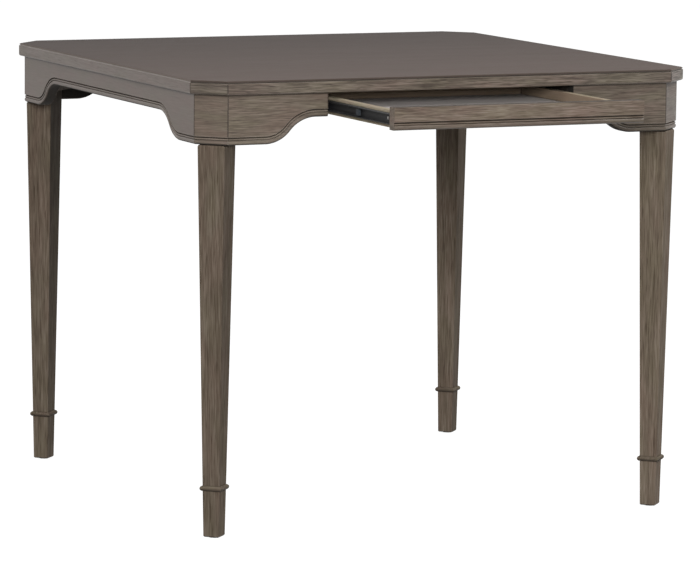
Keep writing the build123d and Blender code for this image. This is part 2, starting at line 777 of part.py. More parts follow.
def make_slides():
    """Both slides, each member shifted to where it stands with the drawer at rest."""
    outer_cage_web = middle_web_outer + (member_web_gap + cage_web_thickness) / 2
    inner_cage_web = (cabinet_reach + middle_web_inner + cage_web_thickness) / 2
    outer_ball_w = middle_web_outer - middle_reach / 2
    inner_ball_w = cabinet_reach - middle_reach / 2
    outer_cage, outer_balls = make_cage_and_balls(outer_cage_web, outer_ball_w, outer_ball_z)
    inner_cage, inner_balls = make_cage_and_balls(inner_cage_web, inner_ball_w, inner_ball_z)
    single = {
        "slide_drawer_": (make_drawer_member(), drawer_shift),
        "slide_middle_": (make_middle_member(), middle_shift),
        "slide_cabinet_": (make_cabinet_member(), Location()),
        "slide_bumper_": (make_bumper(), middle_shift),
        "ball_cage_outer_": (outer_cage, outer_cage_shift),
        "ball_cage_inner_": (inner_cage, inner_cage_shift),
    }
    balls = {"balls_outer_": (outer_balls, outer_cage_shift), "balls_inner_": (inner_balls, inner_cage_shift)}
    cabinet_screws = []
    drawer_screws = []
    for side in SIDES:
        for name, (piece, shift) in single.items():
            nodes[name + side] = shift * side_copy(piece, side)
        for name, (pieces, shift) in balls.items():
            nodes[name + side] = group(shift * side_copy(ball, side) for ball in pieces)
        for place in cabinet_screw_places:
            cabinet_screws.append(side_copy(cabinet_screw(place), side))
        for place in drawer_screw_places:
            screw = countersunk_screw(web_inner, slide_front + place)
            drawer_screws.append(drawer_shift * side_copy(screw, side))
    nodes["slide_screws_cabinet"] = group(cabinet_screws)
    nodes["slide_screws_drawer"] = group(drawer_screws)


def write_nodes():
    """One STEP file for each named node."""
    os.makedirs("parts", exist_ok=True)
    for name, piece in nodes.items():
        solids = piece.solids()
        shape = solids[0] if len(solids) == 1 else Compound(children=list(solids))
        export_step(shape, "parts/" + name + ".step")


make_top()
make_aprons()
make_corner_panels()
make_legs()
make_braces()
make_rails_and_cleats()
make_drawer_wood()
make_slides()
write_nodes()
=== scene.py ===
"""The looks of the gaming table: finishes, softened edges, studio and camera.

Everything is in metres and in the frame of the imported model: the origin lies on
the floor under the middle of the table, the drawer opens towards -Y, +Z is up.
"""

import math
from dataclasses import dataclass

import bpy
from mathutils import Matrix, Vector


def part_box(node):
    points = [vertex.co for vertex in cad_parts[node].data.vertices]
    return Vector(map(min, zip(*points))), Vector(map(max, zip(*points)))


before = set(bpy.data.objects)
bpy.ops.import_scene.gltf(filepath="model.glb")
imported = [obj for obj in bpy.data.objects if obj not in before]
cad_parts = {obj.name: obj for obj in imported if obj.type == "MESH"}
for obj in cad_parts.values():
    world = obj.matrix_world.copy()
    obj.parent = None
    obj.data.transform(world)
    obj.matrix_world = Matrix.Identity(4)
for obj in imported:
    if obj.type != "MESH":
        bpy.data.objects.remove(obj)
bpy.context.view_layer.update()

# ---------------------------------------------------------------------------
# Studio and camera
# ---------------------------------------------------------------------------
CAMERA_PLACE = Vector((-3.1178, -6.9602, 1.3673))
CAMERA_HEADING = math.radians(-24.254)
CAMERA_DOWN = math.radians(7.573)
CAMERA_ROLL = math.radians(0.604)
CAMERA_LENS = 223.08
SENSOR_WIDTH = 36.0
CAMERA_REACH = 200.0

WHITE = 1.0
AMBIENT_LOW = 0.22
AMBIENT_HIGH = 0.60
LAMP_TARGET = Vector((0.0, 0.0, 0.45))
LAMP_DISTANCE = 5.0


@dataclass
class Lamp:
    """A round soft lamp: its level, its degrees to the right of -Y and up, and its width in metres."""
    level: float
    side: float
    height: float
    size: float


LAMPS = {
    "key": Lamp(level=0.70, side=-24.0, height=14.0, size=1.2),
    "fill": Lamp(level=0.34, side=70.0, height=40.0, size=1.5),
    "back": Lamp(level=0.20, side=-135.0, height=20.0, size=1.5),
}

FLOOR_HALF = 60.0
FLOOR_COLOUR = 0.26
FLOOR_GLOW = 0.90

# ---------------------------------------------------------------------------
# Sides, corners and levels of the table
# ---------------------------------------------------------------------------
# The turn about Z, in degrees, that takes the X axis to the length of the boards at a side or corner.
GRAIN_TURN = {
    "front": 0.0,
    "back": 0.0,
    "left": 90.0,
    "right": 90.0,
    "front_left": -45.0,
    "back_right": -45.0,
    "front_right": 45.0,
    "back_left": 45.0,
}
SIDES = ("left", "right")
# The edge bands whose groove under the face sheet gets painted light, a pale colour that cancels the groove's
# shade; on the others it stays dark.
PAINTED_LIGHT_GROOVE_BANDS = ("left", "right", "front_right", "back_left", "back_right")
CORNERS = ("front_left", "front_right", "back_right", "back_left")

bottom_low, bottom_high = (Vector(corner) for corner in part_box("drawer_bottom"))
DRAWER_MIDDLE = tuple((bottom_low + bottom_high) / 2)
TABLE_MIDDLE = (0.0, 0.0, 0.0)
FRONT_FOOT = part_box("drawer_front")[0][2]
APRON_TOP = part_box("apron_back")[1][2]
TOP_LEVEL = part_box("top_panel")[1][2]


# ---------------------------------------------------------------------------
# Shader building
# ---------------------------------------------------------------------------
class Shader:
    """A material's node tree, with short calls that add a node and link it."""

    def __init__(self, name):
        self.material = bpy.data.materials.new(name)
        self.material.use_nodes = True
        self.tree = self.material.node_tree
        self.tree.nodes.clear()

    def node(self, kind, inputs, **settings):
        """A shader node with its settings and inputs; an input is a value or a socket."""
        made = self.tree.nodes.new("ShaderNode" + kind)
        for key, value in settings.items():
            setattr(made, key, value)
        for key, value in inputs.items():
            if isinstance(value, bpy.types.NodeSocket):
                self.tree.links.new(value, made.inputs[key])
            else:
                made.inputs[key].default_value = value
        return made

    def math(self, operation, a, b=0.0):
        """A math node of two inputs."""
        return self.node("Math", {0: a, 1: b}, operation=operation).outputs[0]

    def vector(self, operation, a, b):
        """A vector math node of two inputs."""
        return self.node("VectorMath", {0: a, 1: b}, operation=operation).outputs[0]

    def dot(self, a, b):
        """The dot product of two vectors."""
        return self.node("VectorMath", {0: a, 1: b}, operation="DOT_PRODUCT").outputs["Value"]

    def axis(self, vector, name):
        """One part of a vector, named X, Y or Z."""
        return self.node("SeparateXYZ", {"Vector": vector}).outputs[name]

    def normal(self):
        """The direction that the surface looks in."""
        return self.node("NewGeometry", {}).outputs["Normal"]

    def remap(self, value, low, high, to_low=0.0, to_high=1.0):
        """A value taken from one range to another, and kept inside it."""
        inputs = {"Value": value, "From Min": low, "From Max": high, "To Min": to_low, "To Max": to_high}
        return self.node("MapRange", inputs, clamp=True).outputs[0]

    def noise(self, vector, scale=1.0, detail=2.0, roughness=0.5):
        """Noise between 0 and 1."""
        inputs = {"Vector": vector, "Scale": scale, "Detail": detail, "Roughness": roughness}
        return self.node("TexNoise", inputs).outputs["Fac"]

    def ramp(self, value, colours):
        """A colour ramp through evenly spaced colours."""
        node = self.node("ValToRGB", {"Fac": value})
        elements = node.color_ramp.elements
        while len(elements) < len(colours):
            elements.new(0.5)
        for i, colour in enumerate(colours):
            elements[i].position = i / (len(colours) - 1)
            elements[i].color = (*colour, 1.0)
        return node.outputs["Color"]

    def mix(self, share, a, b, blend="MIX"):
        """Two colours mixed; each is a colour or a socket."""
        a, b = (c if isinstance(c, bpy.types.NodeSocket) else (*c, 1.0) for c in (a, b))
        inputs = {0: share, 6: a, 7: b}
        return self.node("Mix", inputs, data_type="RGBA", blend_type=blend).outputs[2]

    def object_place(self):
        """The point on the piece, in the frame of the table at rest."""
        return self.node("TexCoord", {}).outputs["Object"]

    def bump(self, height, distance, strength):
        """A normal bent by a height."""
        inputs = {"Height": height, "Distance": distance, "Strength": strength}
        return self.node("Bump", inputs).outputs["Normal"]

    def finish(self, **sockets):
        """The Principled shader, with its sockets named with underscores for blanks."""
        inputs = {key.replace("_", " "): value for key, value in sockets.items()}
        shader = self.node("BsdfPrincipled", inputs)
        self.node("OutputMaterial", {"Surface": shader.outputs[0]})
        return self.material


# ---------------------------------------------------------------------------
# Wood
# ---------------------------------------------------------------------------
# Length and width of the marks in the grain.
FINE_STREAK = (0.034, 0.0016)
MEDIUM_STREAK = (0.085, 0.0055)
BROAD_STREAK = (0.300, 0.050)
DASH = (0.026, 0.0018)
BLOTCH = (0.075, 0.020)

# How much each kind of mark moves the tone, and the value of it that leaves the tone alone.
MIDDLE = 0.5
DASH_MIDDLE = 0.08
FINE_SHARE = 1.7
MEDIUM_SHARE = 0.7
BROAD_SHARE = 0.7
DASH_SHARE = -0.36

# The grain wanders: waves per metre along and across it, and how far.
WANDER = (7.0, 22.0, 22.0)
SWAY = 0.006

# How wide an arris is worn, highlighted or seamed, how far glazing and painted shade reach out of a corner,
# and the grain's depth.
EDGE_RADIUS = 0.0023
GLAZE_AND_SHADE_REACH = 0.005
GRAIN_DEPTH = 0.00025

# How much rougher the darkest wood of a finish is than its middle, and how much smoother the lightest.
ROUGHER = 0.07
SMOOTHER = 0.06

# Ranges are (from, to) or (from, to, result at from, result at to), for Shader.remap.
DASH_RANGE = (0.60, 0.70)
BLOTCH_RANGE = (0.35, 0.65)
PATCHY_WEAR = (0.38, 0.62, 0.3, 1.0)
GLAZE_AND_SHADE_RANGE = (0.80, 0.35)
LEVEL_RISE = (0.02, 0.12)
LEVEL_BEND = (0.06, 0.25)
UPRIGHT_BEND = (0.03, 0.12)

# The colour of dark seams, of glazing in hollows and of the painted shade where other surfaces come near.
GLAZE_AND_SHADE_COLOUR = (0.022, 0.016, 0.012)
WORN_AND_HIGHLIGHT_COLOUR = (0.290, 0.245, 0.200)
OLIVE = (0.95, 1.01, 0.90)
PLAIN = (1.0, 1.0, 1.0)
ROSE = (1.08, 0.97, 1.00)


@dataclass
class Finish:
    """How a wooden surface looks: colours from dark to light streaks, and amounts from 0 up."""
    colours: tuple
    contrast: float = 1.0
    roughness: float = 0.42
    specular: float = 0.30
    # Glazing in hollows together with painted shade where other surfaces come near.
    glaze: float = 0.9
    # Worn arrises, raised on the aprons and corner panels into painted highlights.
    wear: float = 0.4
    seam: float = 0.0
    blotch: float = 0.5
    relief: float = 0.4
    stretch: float = 1.0
    offset: float = 0.0


APRON_COLOURS = ((0.055, 0.041, 0.031), (0.109, 0.085, 0.064), (0.185, 0.150, 0.119))
EDGE_COLOURS = ((0.046, 0.034, 0.026), (0.104, 0.083, 0.065), (0.198, 0.163, 0.132))
LEG_COLOURS = ((0.062, 0.046, 0.033), (0.118, 0.092, 0.068), (0.190, 0.155, 0.122))
DRAWER_COLOURS = ((0.058, 0.040, 0.028), (0.131, 0.099, 0.075), (0.226, 0.183, 0.149))
# Painted sheen: the side aprons and side edge bands are lighter and greyer than the front pieces, for the
# pale sheen that faces seen edge-on pick up.
SIDE_PAINTED_SHEEN_COLOURS = ((0.076, 0.056, 0.042), (0.113, 0.086, 0.069), (0.145, 0.115, 0.095))
SIDE_EDGE_PAINTED_SHEEN_COLOURS = ((0.080, 0.060, 0.047), (0.119, 0.092, 0.075), (0.152, 0.122, 0.103))
TOP_COLOURS = ((0.088, 0.064, 0.054), (0.104, 0.078, 0.067), (0.119, 0.090, 0.079))
RAW_COLOURS = ((0.215, 0.172, 0.118), (0.350, 0.295, 0.215), (0.460, 0.400, 0.305))
INNER_COLOURS = ((0.045, 0.034, 0.024), (0.075, 0.056, 0.040), (0.110, 0.084, 0.061))
# Near black: partly a dark stain, partly painted shade for the rails deep in the drawer opening.
RAIL_DARK_AND_SHADE_COLOURS = ((0.020, 0.016, 0.013), (0.036, 0.029, 0.024), (0.060, 0.050, 0.042))
BOARD_COLOURS = ((0.500, 0.460, 0.438), (0.580, 0.540, 0.518), (0.650, 0.612, 0.590))

FINISHES = {
    "top_veneer": Finish(TOP_COLOURS, contrast=0.42, roughness=0.62, specular=0.08, glaze=0.0, wear=0.0,
                         blotch=0.3, relief=0.12),
    "edge_wood": Finish(EDGE_COLOURS, contrast=1.25, glaze=1.0, seam=0.9, offset=0.31),
    # The side finishes carry a painted sheen in their lighter, greyer colours and fainter grain.
    "side_edge_wood": Finish(SIDE_EDGE_PAINTED_SHEEN_COLOURS, contrast=0.75, glaze=0.15, wear=0.1, relief=0.3, offset=0.31),
    # The aprons and corner panels carry painted highlights along their moulding's arrises, through their
    # raised worn edges.
    "apron_wood": Finish(APRON_COLOURS, glaze=0.85, wear=0.7, seam=0.9),
    "side_apron_wood": Finish(SIDE_PAINTED_SHEEN_COLOURS, contrast=0.30, glaze=0.85, seam=0.6, relief=0.12),
    "panel_wood": Finish(APRON_COLOURS, contrast=0.7, glaze=0.85, wear=0.7, seam=0.9, offset=0.17),
    "leg_wood": Finish(LEG_COLOURS, contrast=0.85, roughness=0.65, specular=0.06, glaze=1.0, blotch=0.4,
                       stretch=1.5),
    "collar_wood": Finish(LEG_COLOURS, contrast=1.0, roughness=0.65, specular=0.06, glaze=1.0, wear=0.15),
    "drawer_front_wood": Finish(DRAWER_COLOURS, wear=0.12, offset=0.53),
    "drawer_side_wood": Finish(RAW_COLOURS, roughness=0.85, specular=0.05, glaze=0.7, wear=0.0, offset=0.71),
    "drawer_bottom_board": Finish(BOARD_COLOURS, contrast=0.3, roughness=0.9, specular=0.05, glaze=0.7,
                                  wear=0.0, blotch=0.2),
    "inner_hardwood": Finish(INNER_COLOURS, wear=0.0, specular=0.15, roughness=0.6),
    "rail_hardwood": Finish(RAIL_DARK_AND_SHADE_COLOURS, wear=0.0, specular=0.15, roughness=0.6),
}
# The tone and the offset in the grain of single boards, by finish and place. The tones are partly the boards'
# own and partly painted light and shade: the front right leg and edge band are lighter where more light falls
# from the right, and the other tones are set for how much light reaches each piece.
BOARDS = {
    ("leg_wood", "front_left"): (0.92, 0.23),
    ("leg_wood", "front_right"): (1.22, 0.37),
    ("leg_wood", "back_left"): (1.12, 0.61),
    ("leg_wood", "back_right"): (1.20, 0.83),
    ("edge_wood", "front_left"): (0.85, 0.12),
    ("edge_wood", "front_right"): (1.10, 0.45),
    ("apron_wood", "front_right"): (0.90, 0.27),
}
# The woods made so far, by the arguments of wood().
woods = {}


def grain_place(sh, turn, upright, offset):
    """The point on the piece, turned so that the grain runs along X."""
    place = sh.node("Mapping", {
        "Vector": sh.object_place(),
        "Location": (offset, offset, offset),
        "Rotation": (0.0, 0.0, math.radians(-turn)),
    }).outputs[0]
    if upright:
        place = sh.node("Mapping", {"Vector": place, "Rotation": (0.0, math.radians(90.0), 0.0)}).outputs[0]
    drift = sh.node("TexNoise", {
        "Vector": sh.vector("MULTIPLY", place, WANDER), "Scale": 1.0, "Detail": 2.0,
    }).outputs["Color"]
    sway = sh.vector("MULTIPLY", sh.vector("SUBTRACT", drift, (MIDDLE, MIDDLE, MIDDLE)), (0.0, SWAY, SWAY))
    return sh.vector("ADD", place, sway)


def edge_masks(sh):
    """Where an arris is near: a mask for level arrises and one for upright ones."""
    soft = sh.node("Bevel", {"Radius": EDGE_RADIUS}, samples=4).outputs[0]
    bend = sh.vector("SUBTRACT", soft, sh.normal())
    amount = sh.node("VectorMath", {0: bend}, operation="LENGTH").outputs["Value"]
    level = sh.remap(sh.math("ABSOLUTE", sh.axis(bend, "Z")), *LEVEL_RISE)
    level_edge = sh.math("MULTIPLY", sh.remap(amount, *LEVEL_BEND), level)
    upright_edge = sh.math("MULTIPLY", sh.remap(amount, *UPRIGHT_BEND), sh.math("SUBTRACT", 1.0, level))
    return level_edge, upright_edge


def wood(name, turn, upright=False, extra=None, board=None):
    """A finish with its grain level at a turn about Z, or upright; the same call gives the same material.

    An extra is a stain or painted light and shade, laid on before the worn arrises, painted highlights,
    glazing and painted shade. A board listed in BOARDS has its own figure and its own tone, which is partly
    painted light and shade.
    """
    key = (name, turn, upright, extra, board)
    if key in woods:
        return woods[key]
    finish = FINISHES[name]
    # A board's tone is partly its own and partly painted light and shade.
    tone_and_painted_light, offset = BOARDS.get((name, board), (1.0, finish.offset))
    colours = [tuple(tone_and_painted_light * part for part in colour) for colour in finish.colours]
    label = [name, board or str(int(turn))]
    if upright:
        label.append("upright")
    if extra:
        label.append(extra.__name__)
    sh = Shader("_".join(label))
    place = grain_place(sh, turn, upright, offset)

    def streaks(size, detail=2.0, roughness=0.5):
        """Noise drawn out along the grain, of this length and width in metres."""
        length, width = (finish.stretch * part for part in size)
        scaled = sh.vector("MULTIPLY", place, (1.0 / length, 1.0 / width, 1.0 / width))
        return sh.noise(scaled, 1.0, detail, roughness)

    fine = streaks(FINE_STREAK, roughness=0.6)
    medium = streaks(MEDIUM_STREAK)
    broad = streaks(BROAD_STREAK)
    dashes = sh.remap(streaks(DASH, detail=1.0), *DASH_RANGE)
    layers = (
        (fine, MIDDLE, FINE_SHARE),
        (medium, MIDDLE, MEDIUM_SHARE),
        (broad, MIDDLE, BROAD_SHARE),
        (dashes, DASH_MIDDLE, DASH_SHARE),
    )
    tone = MIDDLE
    for layer, middle, share in layers:
        part = sh.math("MULTIPLY", sh.math("SUBTRACT", layer, middle), share * finish.contrast)
        tone = sh.math("ADD", tone, part)
    colour = sh.ramp(tone, colours)
    tint = sh.ramp(sh.remap(streaks(BLOTCH), *BLOTCH_RANGE), (OLIVE, PLAIN, ROSE))
    colour = sh.mix(finish.blotch, colour, tint, "MULTIPLY")
    # The least roughness that an extra gives; its stains and its painted light and shade go into the colour.
    stained = 0.0
    if extra:
        colour, stained = extra(sh, colour)
    if finish.wear > 0.0 or finish.seam > 0.0:
        level_edge, upright_edge = edge_masks(sh)
        # Worn arrises; on the aprons and corner panels also painted highlights along the moulding.
        if finish.wear > 0.0:
            worn_and_highlit = sh.math("MULTIPLY", level_edge, sh.remap(medium, *PATCHY_WEAR))
            colour = sh.mix(sh.math("MULTIPLY", worn_and_highlit, finish.wear), colour, WORN_AND_HIGHLIGHT_COLOUR)
        if finish.seam > 0.0:
            colour = sh.mix(sh.math("MULTIPLY", upright_edge, finish.seam), colour, GLAZE_AND_SHADE_COLOUR)
    # Glazing and painted shade: darker where other surfaces come near, in grooves, joints and under
    # overhangs.
    if finish.glaze > 0.0:
        shut = sh.node("AmbientOcclusion", {"Distance": GLAZE_AND_SHADE_REACH}, samples=8).outputs["AO"]
        colour = sh.mix(sh.math("MULTIPLY", sh.remap(shut, *GLAZE_AND_SHADE_RANGE), finish.glaze), colour, GLAZE_AND_SHADE_COLOUR)
    height = sh.math("SUBTRACT", sh.math("ADD", fine, sh.math("MULTIPLY", medium, 0.5)), dashes)
    rough = sh.remap(tone, 0.0, 1.0, finish.roughness + ROUGHER, finish.roughness - SMOOTHER)
    woods[key] = sh.finish(
        Base_Color=colour,
        Roughness=sh.math("MAXIMUM", rough, stained),
        Specular_IOR_Level=finish.specular,
        Normal=sh.bump(height, GRAIN_DEPTH, finish.relief),
    )
    return woods[key]


# ---------------------------------------------------------------------------
# Stains and painted light and shade: each recolours a wood, and gives back the colour and the least roughness
# ---------------------------------------------------------------------------
STAINED_INSIDE = (0.210, 0.155, 0.112)
INSIDE_FACING = (0.0, -0.02, 0.0, 0.85)

# Painted light in the groove under the face sheet, which cancels its shade on some edge bands.
PAINTED_GROOVE_LIGHT = (0.42, 0.37, 0.34)
GROOVE_DROP = 0.0042
GROOVE_FADE = 0.0003
GROOVE_LIGHT_SHARE = 0.9

# Painted shade beneath the boards, on their inner faces and sawn edges, and on some faces of the legs.
PAINTED_SHADE_COLOUR = (0.014, 0.012, 0.010)
BOARD_INSIDE = (0.0, -0.03)
BOARD_BELOW = (-0.35, -0.65)
BOARD_END = (0.40, 0.20)
BOARD_SHARE = 0.95

# A dark line at the aprons' joint with the top: partly a dark joint, partly the painted shadow of the top's
# overhang.
JOINT_AND_SHADOW_COLOUR = (0.044, 0.030, 0.021)
JOINT_LINE = 0.0038
JOINT_SHARE = 0.9

# Painted shade under the collars and on the drawer front's lower faces and bead; it also darkens the drawer
# front's upper face.
DARK_EDGE = (0.040, 0.031, 0.024)
COLLAR_BELOW = (0.25, -0.55, 0.0, 0.8)
FRONT_ABOVE = (0.6, 0.9, 0.0, 0.8)
FRONT_BELOW = (-0.15, -0.75, 0.0, 0.8)
BEAD_HEIGHT = 0.009
BEAD_SHARE = 0.40

LEG_INSIDE = (-0.2, -0.4)
LEG_HEIGHT = (0.15, 0.62, 0.25, 0.78)
FRONT_RIGHT = (0.7, -0.7, 0.0)
RIGHT_FACING = (0.6, 0.8, 0.0, 0.38)

# Painted shade on the top, deepening towards the back, and painted sheen and painted shade on its round-over.
TOP_BACK_PAINTED_SHADE = (0.053, 0.040, 0.035)
TOP_DEPTH = (-0.45, 0.45, 0.0, 0.9)
ROUND_PAINTED_SHEEN = (0.142, 0.116, 0.100)
ROUND_PAINTED_SHADE = (0.052, 0.039, 0.032)
ROUND_RISE = (0.985, 0.85, 0.0, 0.8)
ROUND_SIDE = (0.5, 0.65)
# Keeps the painted shade on the left corners' round-over and puts the painted sheen on the right corners'
# one.
ROUND_SHIFT = 0.3

# Multiplied with a vector, it leaves the level part.
LEVEL = (1.0, 1.0, 0.0)


def outward_facing(sh, middle=TABLE_MIDDLE):
    """How much a face looks away from a middle, seen from above: below 0 it looks towards the middle."""
    outwards = sh.vector("SUBTRACT", sh.object_place(), middle)
    return sh.dot(sh.vector("MULTIPLY", outwards, LEVEL), sh.normal())


def stained_inside(sh, colour):
    """Brown stain on the faces that look into the drawer."""
    share = sh.remap(outward_facing(sh, DRAWER_MIDDLE), *INSIDE_FACING)
    return sh.mix(share, colour, STAINED_INSIDE), 0.0


def waxed_groove(sh, colour):
    """Painted light: a pale colour in the groove between an edge band and the top's face sheet, which cancels
    its shade.
    """
    height = sh.axis(sh.object_place(), "Z")
    foot = TOP_LEVEL - GROOVE_DROP
    share = sh.remap(height, foot - GROOVE_FADE, foot, 0.0, GROOVE_LIGHT_SHARE)
    return sh.mix(share, colour, PAINTED_GROOVE_LIGHT), 0.0


def board_shade(sh, colour, axis=None):
    """Painted shade beneath a board and on its inner face, and a dark line along its joint with the top,
    partly a dark joint and partly the painted shadow of the top's overhang.

    With an axis, the direction that the board looks in, its sawn edges get painted shade too.
    """
    normal = sh.normal()
    share = sh.math("MAXIMUM", sh.remap(outward_facing(sh), *BOARD_INSIDE),
                    sh.remap(sh.axis(normal, "Z"), *BOARD_BELOW))
    if axis:
        facing = sh.math("ABSOLUTE", sh.axis(normal, axis))
        share = sh.math("MAXIMUM", share, sh.remap(facing, *BOARD_END))
    height = sh.axis(sh.object_place(), "Z")
    joint = sh.remap(height, APRON_TOP - JOINT_LINE, APRON_TOP - JOINT_LINE / 2, 0.0, JOINT_SHARE)
    colour = sh.mix(joint, colour, JOINT_AND_SHADOW_COLOUR)
    return sh.mix(sh.math("MULTIPLY", share, BOARD_SHARE), colour, PAINTED_SHADE_COLOUR), share


def panel_shade(sh, colour):
    """The painted shade of a corner panel."""
    return board_shade(sh, colour)


def front_board_shade(sh, colour):
    """The painted shade of a board that looks to the front or the back."""
    return board_shade(sh, colour, "Y")


def side_board_shade(sh, colour):
    """The painted shade of a board that looks left or right."""
    return board_shade(sh, colour, "X")


def dark_below(sh, colour):
    """Painted shade on the lower half of a collar."""
    rise = sh.axis(sh.normal(), "Z")
    return sh.mix(sh.remap(rise, *COLLAR_BELOW), colour, DARK_EDGE), 0.0


def dark_inner_face(sh, colour):
    """Painted shade on a leg's inner faces, deepest under the aprons."""
    height = sh.axis(sh.object_place(), "Z")
    share = sh.math("MULTIPLY", sh.remap(outward_facing(sh), *LEG_INSIDE), sh.remap(height, *LEG_HEIGHT))
    return sh.mix(share, colour, PAINTED_SHADE_COLOUR), 0.0


def stained_top(sh, colour):
    """Painted shade that deepens towards the back, with a painted sheen on the round-over at the sides and
    painted shade on it at the ends.
    """
    depth = sh.axis(sh.object_place(), "Y")
    colour = sh.mix(sh.remap(depth, *TOP_DEPTH), colour, TOP_BACK_PAINTED_SHADE)
    normal = sh.normal()
    flat = sh.vector("MULTIPLY", normal, LEVEL)
    outwards = sh.node("VectorMath", {0: flat}, operation="NORMALIZE").outputs["Vector"]
    across = sh.math("ABSOLUTE", sh.math("ADD", sh.axis(outwards, "X"), ROUND_SHIFT))
    edge = sh.mix(sh.remap(across, *ROUND_SIDE), ROUND_PAINTED_SHADE, ROUND_PAINTED_SHEEN)
    return sh.mix(sh.remap(sh.axis(normal, "Z"), *ROUND_RISE), colour, edge), 0.0


def dark_edges(sh, colour):
    """The drawer front's upper face darker, and painted shade on its lower faces and on the lower part of its
    bead.
    """
    rise = sh.axis(sh.normal(), "Z")
    height = sh.axis(sh.object_place(), "Z")
    above = sh.remap(rise, *FRONT_ABOVE)
    below = sh.remap(rise, *FRONT_BELOW)
    bead = sh.remap(height, FRONT_FOOT + BEAD_HEIGHT, FRONT_FOOT + BEAD_HEIGHT / 2, 0.0, BEAD_SHARE)
    share = sh.math("MAXIMUM", sh.math("MAXIMUM", above, below), bead)
    return sh.mix(share, colour, DARK_EDGE), above


def shaded_right_face(sh, colour):
    """Slight painted shade on the face that looks to the front right."""
    facing = sh.dot(sh.normal(), FRONT_RIGHT)
    return sh.mix(sh.remap(facing, *RIGHT_FACING), colour, PAINTED_SHADE_COLOUR), 0.0


# ---------------------------------------------------------------------------
# Metal and plastic
# ---------------------------------------------------------------------------
# Marks per metre: mottling, rub marks along the slides, the grain and the clouds of moulded plastic.
MOTTLE = 500.0
RUBS = (900.0, 25.0, 900.0)
PLASTIC_GRAIN = 900.0
PLASTIC_CLOUD = 60.0
METAL_SPREAD = (0.35, 0.65)
PLASTIC_SPREAD = (0.3, 0.7)
METAL_DEPTH = 0.00005
PLASTIC_DEPTH = 0.00004

ZINC = (0.62, 0.62, 0.60)
BLACK = (0.014, 0.014, 0.015)
BALL = (0.75, 0.75, 0.75)
CAGE = (0.10, 0.10, 0.10)
BUMPER = (0.022, 0.027, 0.033)
NYLON = (0.55, 0.52, 0.46)


def shades(colour, low, high):
    """A colour with a darker one before it and a lighter one after it."""
    return tuple(low * c for c in colour), colour, tuple(min(1.0, high * c) for c in colour)


def metal(name, colour, roughness, metallic=1.0, specular=0.5):
    """Plated or coated steel with fine mottling and rub marks."""
    sh = Shader(name)
    place = sh.object_place()
    mottle = sh.noise(place, MOTTLE, detail=3.0, roughness=0.6)
    rubs = sh.noise(sh.vector("MULTIPLY", place, RUBS))
    mixed = sh.math("ADD", sh.math("MULTIPLY", mottle, 0.5), sh.math("MULTIPLY", rubs, 0.5))
    return sh.finish(
        Base_Color=sh.ramp(sh.remap(mixed, *METAL_SPREAD), shades(colour, 0.75, 1.25)),
        Metallic=metallic,
        Specular_IOR_Level=specular,
        Roughness=sh.remap(mixed, *METAL_SPREAD, roughness - 0.07, roughness + 0.09),
        Normal=sh.bump(mixed, METAL_DEPTH, 0.3),
    )


def plastic(name, colour, roughness):
    """Moulded plastic with a faint grain."""
    sh = Shader(name)
    place = sh.object_place()
    grain = sh.noise(place, PLASTIC_GRAIN, detail=3.0, roughness=0.6)
    cloud = sh.noise(place, PLASTIC_CLOUD)
    return sh.finish(
        Base_Color=sh.ramp(cloud, shades(colour, 0.9, 1.08)),
        Roughness=sh.remap(grain, *PLASTIC_SPREAD, roughness - 0.05, roughness + 0.05),
        Specular_IOR_Level=0.4,
        Normal=sh.bump(grain, PLASTIC_DEPTH, 0.4),
    )


# ---------------------------------------------------------------------------
# Finishes and softened edges, piece by piece
# ---------------------------------------------------------------------------
WELD_REACH = 0.00001
BEVEL_STEPS = 2
SHARP_ANGLE = math.radians(35.0)
LEG_ARRIS = 0.0008
PANEL_ARRIS = 0.0005
DRAWER_SIDE_ARRIS = 0.0010
DRAWER_FRONT_ARRIS = 0.0008


def give(node, material):
    """Put a material on a CAD piece."""
    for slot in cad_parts[node].material_slots:
        slot.material = material


def soften(node, width):
    """Round the arrises of a CAD piece."""
    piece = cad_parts[node]
    weld = piece.modifiers.new("weld", "WELD")
    weld.merge_threshold = WELD_REACH
    bevel = piece.modifiers.new("bevel", "BEVEL")
    bevel.width = width
    bevel.segments = BEVEL_STEPS
    bevel.limit_method = "ANGLE"
    bevel.angle_limit = SHARP_ANGLE
    bevel.harden_normals = True


def finish_top():
    """The top panel and its edge bands."""
    give("top_panel", wood("top_veneer", 0.0, extra=stained_top))
    for side, turn in GRAIN_TURN.items():
        finish = "side_edge_wood" if side in SIDES else "edge_wood"
        # Some bands get painted light in their groove.
        extra = waxed_groove if side in PAINTED_LIGHT_GROOVE_BANDS else None
        give("edge_band_" + side, wood(finish, turn, extra=extra, board=side))


def finish_aprons():
    """Aprons and corner panels."""
    for side in ("front_left", "front_right", "back"):
        give("apron_" + side, wood("apron_wood", 0.0, extra=front_board_shade, board=side))
    for side in SIDES:
        give("apron_" + side, wood("side_apron_wood", 90.0, extra=side_board_shade))
    for corner in CORNERS:
        give("corner_panel_" + corner, wood("panel_wood", GRAIN_TURN[corner], extra=panel_shade))


def finish_legs():
    """Legs, collars and glides."""
    extras = {"back_left": dark_inner_face, "back_right": shaded_right_face}
    for corner in CORNERS:
        give("leg_" + corner, wood("leg_wood", 45.0, upright=True, extra=extras.get(corner), board=corner))
        give("leg_collar_" + corner, wood("collar_wood", GRAIN_TURN[corner], extra=dark_below))
    give("foot_glides", plastic("nylon", NYLON, roughness=0.45))


